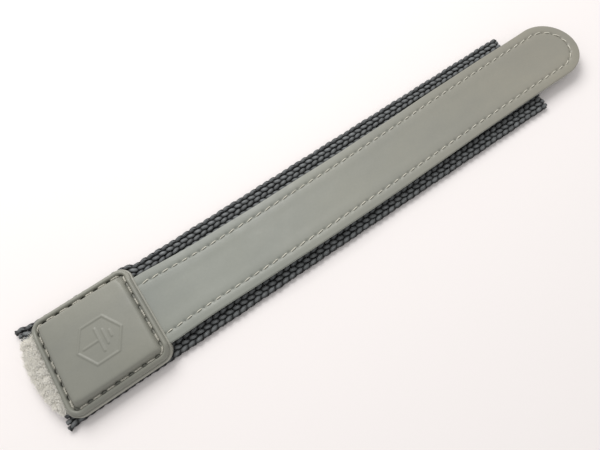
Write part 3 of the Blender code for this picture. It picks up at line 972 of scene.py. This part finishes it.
def inflate_pad():
    """Heights of a sewn-down square inflated from below, 1 at its middle, on an even grid."""
    steps = np.linspace(-1.0, 1.0, PAD_GRID)
    u, v = np.meshgrid(steps, steps, indexing="ij")
    flat = rows_of(u * PAD_HALF[0], v * PAD_HALF[1], 0.0).reshape(-1, 3) * PAD_SCALE
    index = numbered(PAD_GRID, PAD_GRID)
    inner = np.zeros((PAD_GRID, PAD_GRID), bool)
    inner[1:-1, 1:-1] = True
    below = index.copy()
    below[inner] = PAD_GRID ** 2 + np.arange(inner.sum())
    points = np.concatenate([flat, flat[inner.reshape(-1)] - (0.0, 0.0, 0.02)])
    faces = np.concatenate([grid_faces(index)[:, ::-1], grid_faces(below)])
    mesh = bpy.data.meshes.new("pillow")
    mesh.from_pydata(points.tolist(), [], faces.tolist())
    clean_mesh(mesh)
    pillow = add_object("pillow", mesh)
    held = pillow.vertex_groups.new(name="held")
    held.add(index[~inner].tolist() + below[inner].tolist(), 1.0, "REPLACE")
    cloth = pillow.modifiers.new("Cloth", "CLOTH")
    cloth.point_cache.frame_end = PAD_FRAMES
    settings = cloth.settings
    settings.vertex_group_mass = "held"
    settings.use_pressure = True
    settings.uniform_pressure_force = PAD_PRESSURE
    settings.effector_weights.gravity = 0.0
    settings.tension_stiffness = PAD_STIFFNESS
    settings.compression_stiffness = PAD_STIFFNESS
    settings.bending_stiffness = 0.5
    for number in range(1, PAD_FRAMES + 1):
        bpy.context.scene.frame_set(number)
    moved = pillow.evaluated_get(bpy.context.evaluated_depsgraph_get()).to_mesh()
    height = np.array([moved.vertices[number].co.z for number in index.reshape(-1)])
    pillow.to_mesh_clear()
    bpy.data.objects.remove(pillow)
    bpy.context.scene.frame_set(1)
    height = np.clip(height.reshape(PAD_GRID, PAD_GRID), 0.0, None)
    return height / height.max()


def pad_rise(local, swell):
    """The puffed middle: the inflated heights, held nearly flat on top by the foam."""
    place = np.clip((local / PAD_HALF + 1.0) / 2.0, 0.0, 1.0) * (PAD_GRID - 1)
    low = np.minimum(place.astype(int), PAD_GRID - 2)
    share = place - low
    x, y, fx, fy = low[..., 0], low[..., 1], share[..., 0], share[..., 1]
    near = swell[x, y] * (1 - fy) + swell[x, y + 1] * fy
    far = swell[x + 1, y] * (1 - fy) + swell[x + 1, y + 1] * fy
    value = near * (1 - fx) + far * fx
    full = np.tanh(PAD_FULLNESS * value) / math.tanh(PAD_FULLNESS)
    return (1.0 - PAD_DOME) * full + PAD_DOME * value


def cover_height(local, inset, swell):
    """The cover above what it lies on: the rim, the groove and the puffed middle."""
    return np.interp(inset, *np.array(RIM_CURVE).T) + PAD_HEIGHT * pad_rise(local, swell)


def line_mark(local, one, two, width):
    """1 on a line between two points, falling to 0 at width."""
    run = two - one
    share = np.clip(((local - one) @ run) / (run @ run), 0.0, 1.0)
    gap = np.linalg.norm(local - one - share[..., None] * run, axis=-1)
    return 1.0 - smooth(width * 0.45, width, gap)


def mark_height(local):
    """A faint raised earth sign in a six-sided outline."""
    local = local - MARK_CENTRE
    lines = [((-0.72, 0.0), (-0.02, 0.0)), ((0.0, -0.52), (0.0, 0.52)), ((0.26, -0.32), (0.26, 0.32)),
             ((0.50, -0.13), (0.50, 0.13))]
    corners = [(math.cos(math.pi / 3 * k), math.sin(math.pi / 3 * k)) for k in range(7)]
    lines += list(zip(corners, corners[1:]))
    marks = [line_mark(local, np.array(a) * MARK_SIZE, np.array(b) * MARK_SIZE, MARK_LINE) for a, b in lines]
    return MARK_RISE * np.max(marks, axis=0)


COVER_INSETS = [0.35, 0.37, 0.41, 0.48, 0.56, 0.66, 0.78, 0.90, 1.02, 1.14, 1.26, 1.36, 1.46, 1.55, 1.64,
                1.72, 1.80, 1.88, 1.96, 2.05, 2.15, 2.25, 2.40, 2.60, 2.85, 3.15, 3.50, 3.85, 4.20]
SIDE_COUNT = 120


def badge_stitch_places():
    """Middles of the stitches round the groove, with their directions."""
    ring = badge_ring(GROOVE_INSET, 400)
    loop = np.concatenate([ring, ring[:1]])
    travel = travelled(loop)
    count = int(round(travel[-1] / BADGE_STITCH_PITCH))
    return loop, travel, np.arange(count) * travel[-1] / count


def badge_hole_field(local):
    """1 at a needle hole in the groove, falling to 0 away from it. Holes are longer along the seam."""
    loop, travel, middles = badge_stitch_places()
    gap = travel[-1] / len(middles)
    at = (middles + gap / 2) % travel[-1]
    places = along_path(loop, travel, at)
    ahead = along_path(loop, travel, (at + 0.1) % travel[-1])
    along = unit(ahead - places)
    best = np.zeros(len(local))
    for place, heading in zip(places, along):
        offset = local - place
        run = offset @ heading
        side = offset @ quarter_turn(heading)
        best = np.maximum(best, 1.0 - np.sqrt((run / BADGE_HOLE[0]) ** 2 + (side / BADGE_HOLE[1]) ** 2))
    return np.clip(best, 0.0, 1.0)


def make_badge_cover(look):
    """The padded leather cover, as rings round a fine grid in the middle."""
    rings = np.array([badge_ring(inset, SIDE_COUNT) for inset in COVER_INSETS])
    insets = np.repeat(np.array(COVER_INSETS)[:, None], rings.shape[1], axis=1)
    half = BADGE_HALF - COVER_INSETS[-1]
    steps = np.linspace(-1.0, 1.0, SIDE_COUNT + 1)
    middle = rows_of(*np.meshgrid(steps * half[0], steps * half[1], indexing="ij"))
    middle_inset = np.min(BADGE_HALF - np.abs(middle), axis=-1)
    local = np.concatenate([rings.reshape(-1, 2), middle.reshape(-1, 2)])
    inset = np.concatenate([insets.reshape(-1), middle_inset.reshape(-1)])
    world = local + BADGE_CENTRE
    inner = smooth(2.0, 3.2, inset)
    base = ground(world) * (1.0 - inner) + TONGUE_HIGH.z * inner
    holes = badge_hole_field(local)
    z = base + cover_height(local, inset, inflate_pad()) + mark_height(local)
    z -= BADGE_HOLE_DEPTH * smooth(0.1, 0.8, holes)
    top = np.concatenate([world, z[:, None]], axis=1)
    ring_index = numbered(*rings.shape[:2])
    grid_index = ring_index.size + numbered(*middle.shape[:2])
    low_insets = [COVER_EDGE, 0.9, 1.6, 3.0]
    low = np.array([badge_ring(value, SIDE_COUNT) for value in low_insets])
    low_world = low + BADGE_CENTRE
    low_z = ground(low_world) + COVER_BELOW
    low_z[0] = z[: rings.shape[1]]
    under = np.concatenate([low_world, low_z[..., None]], axis=2).reshape(-1, 3)
    under_index = len(top) + numbered(*low.shape[:2])
    faces = [grid_faces(ring_index, closed=True), grid_faces(grid_index)]
    faces += [grid_faces(under_index[:, ::-1], closed=True), under_index[-1:, ::-1]]
    points = np.concatenate([top, under])
    # Mask for the painted shade in the needle holes round the groove.
    hole = np.concatenate([smooth(0.12, 0.42, holes), np.zeros(len(under))])
    shape = (points, faces, np.zeros(len(points)))
    piece = make_piece("badge_leather", shape, look, hole, weld=True, crease=70.0)
    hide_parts("badge_cover")
    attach(piece, "badge_end")


def make_badge_base(look):
    """The second leather layer, whose pale cut edge shows under the cover."""
    insets = [1.2, 0.3, 0.06, 0.0, 0.0, 0.06, 0.3, 1.2]
    heights = [0.0, 0.0, 0.02, 0.06, 0.28, 0.35, 0.37, 0.37]
    tones = [0.0, 0.0, 0.7, 1.0, 1.0, 0.6, 0.2, 0.0]
    rows = []
    for inset, height in zip(insets, heights):
        world = badge_ring(inset, 80) + BADGE_CENTRE
        low = np.full(len(world), WEB_THICK + 0.06) if height < 0.1 else ground(world)
        rows.append(np.concatenate([world, (low + height)[:, None]], axis=1))
    rows = np.array(rows)
    index = numbered(*rows.shape[:2])
    index = np.concatenate([index, index[:1]])
    shape = (rows.reshape(-1, 3), [grid_faces(index, closed=True)], np.repeat(tones, rows.shape[1]))
    piece = make_piece("badge_backing", shape, look, weld=True)
    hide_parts("badge_base")
    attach(piece, "badge_end")


def make_badge_thread(look):
    """Separate stitches that lie in the groove and dive into their holes."""
    loop, travel, middles = badge_stitch_places()
    share = np.linspace(-1.0, 1.0, 17)
    at = (middles[:, None] + share * BADGE_STITCH / 2) % travel[-1]
    local = along_path(loop, travel, at)
    world = local + BADGE_CENTRE
    z = ground(world) + 0.72 - 0.80 * np.abs(share) ** 5 + 0.28 * smooth(8.0, 10.5, local[..., 1])
    centres = np.concatenate([world, z[..., None]], axis=2)
    along = unit(np.gradient(centres[..., :2], axis=1))
    strands = []
    for phase in (0.0, math.pi):
        turn = share * math.pi * 2.2 + phase
        side = quarter_turn(along) * STRAND_TURN * np.cos(turn)[:, None]
        offset = rows_of(side[..., 0], side[..., 1], STRAND_TURN * np.sin(turn))
        strands.append(tubes(centres + offset, BADGE_THREAD, 8))
    piece = make_piece("badge_stitches", join(strands), look, crease=80.0)
    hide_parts("badge_thread")
    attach(piece, "badge_end")


# Stage.

CAMERA_TARGET = (51.4, -2.7, 2.0)
CAMERA_DISTANCE = 119.5
CAMERA_AZIMUTH = -28.1
CAMERA_ELEVATION = 68.0
CAMERA_ROLL = -6.9
CAMERA_LENS = 29.7
TABLE_COLOUR = (0.90, 0.862, 0.855)
SURROUND_COLOUR = (1.0, 0.99, 0.98)
SURROUND_STRENGTH = 0.60

# The table, in metres, just below the strap.
TABLE_REACH = 3.0
TABLE_HEIGHT = -0.00003


def make_camera():
    """A close camera over the strap, nearer to its badge end."""
    data = bpy.data.cameras.new("camera")
    data.lens = CAMERA_LENS
    data.clip_start, data.clip_end = 0.005, 5.0
    camera = add_object("camera", data)
    azimuth, elevation = math.radians(CAMERA_AZIMUTH), math.radians(CAMERA_ELEVATION)
    flat = math.cos(elevation)
    back = Vector((math.sin(azimuth) * flat, -math.cos(azimuth) * flat, math.sin(elevation)))
    roll = Matrix.Rotation(math.radians(CAMERA_ROLL), 4, "Z")
    turn = (-back).to_track_quat("-Z", "Y").to_matrix().to_4x4() @ roll
    camera.matrix_world = Matrix.Translation((Vector(CAMERA_TARGET) + back * CAMERA_DISTANCE) * MM) @ turn
    bpy.context.scene.camera = camera


def make_light(name, place, target, size, power, colour):
    """A square area light, in millimetres and watts."""
    data = bpy.data.lights.new(name, "AREA")
    data.size = size * MM
    data.energy = power
    data.color = colour
    light = add_object(name, data)
    light.location = Vector(place) * MM
    light.rotation_euler = (Vector(target) - Vector(place)).to_track_quat("-Z", "Y").to_euler()


def make_stage():
    """A white table, a bright even surround and a soft key light from the far side."""
    mesh = bpy.data.meshes.new("table")
    signs = ((-1, -1), (1, -1), (1, 1), (-1, 1))
    corners = [(x * TABLE_REACH, y * TABLE_REACH, TABLE_HEIGHT) for x, y in signs]
    mesh.from_pydata(corners, [], [(0, 1, 2, 3)])
    table = add_object("table", mesh)
    look = Look("table", TABLE_COLOUR, 0.75, specular=0.2)
    mesh.materials.append(look.material)
    world = bpy.data.worlds.new("surround")
    bpy.context.scene.world = world
    world.use_nodes = True
    background = world.node_tree.nodes["Background"]
    background.inputs["Color"].default_value = (*SURROUND_COLOUR, 1.0)
    background.inputs["Strength"].default_value = SURROUND_STRENGTH
    make_light("key", (85.0, 320.0, 340.0), (60.0, 0.0, 0.0), 280.0, 1.75, (1.0, 0.985, 0.97))
    bpy.context.scene.view_settings.view_transform = "Standard"


def main():
    """Builds every piece, then the stage."""
    rng = np.random.default_rng(RNG_SEED)
    leather = leather_look("leatherette", *TONGUE_PAINTED_LIGHT_TINTS)
    badge_leather = leather_look("badge_leatherette", *BADGE_TINTS)
    seam_thread = thread_look("seam_thread", (0.44, 0.425, 0.365), (0.82, 0.795, 0.69))
    badge_thread = thread_look("badge_thread", (0.30, 0.29, 0.25), (0.64, 0.62, 0.54))
    make_camera()
    make_webbing(rng)
    make_loop_tape(rng)
    make_tongue(leather, seam_thread)
    make_hook_tape()
    make_badge_base(badge_leather)
    make_badge_cover(badge_leather)
    make_badge_thread(badge_thread)
    foam = frame["nodes"]["badge_foam"]
    foam.data.materials.clear()
    foam.data.materials.append(foam_look())
    make_stage()


YARN_TONES = np.random.default_rng(RNG_SEED).uniform(-0.15, 0.30, COLUMNS)
main()
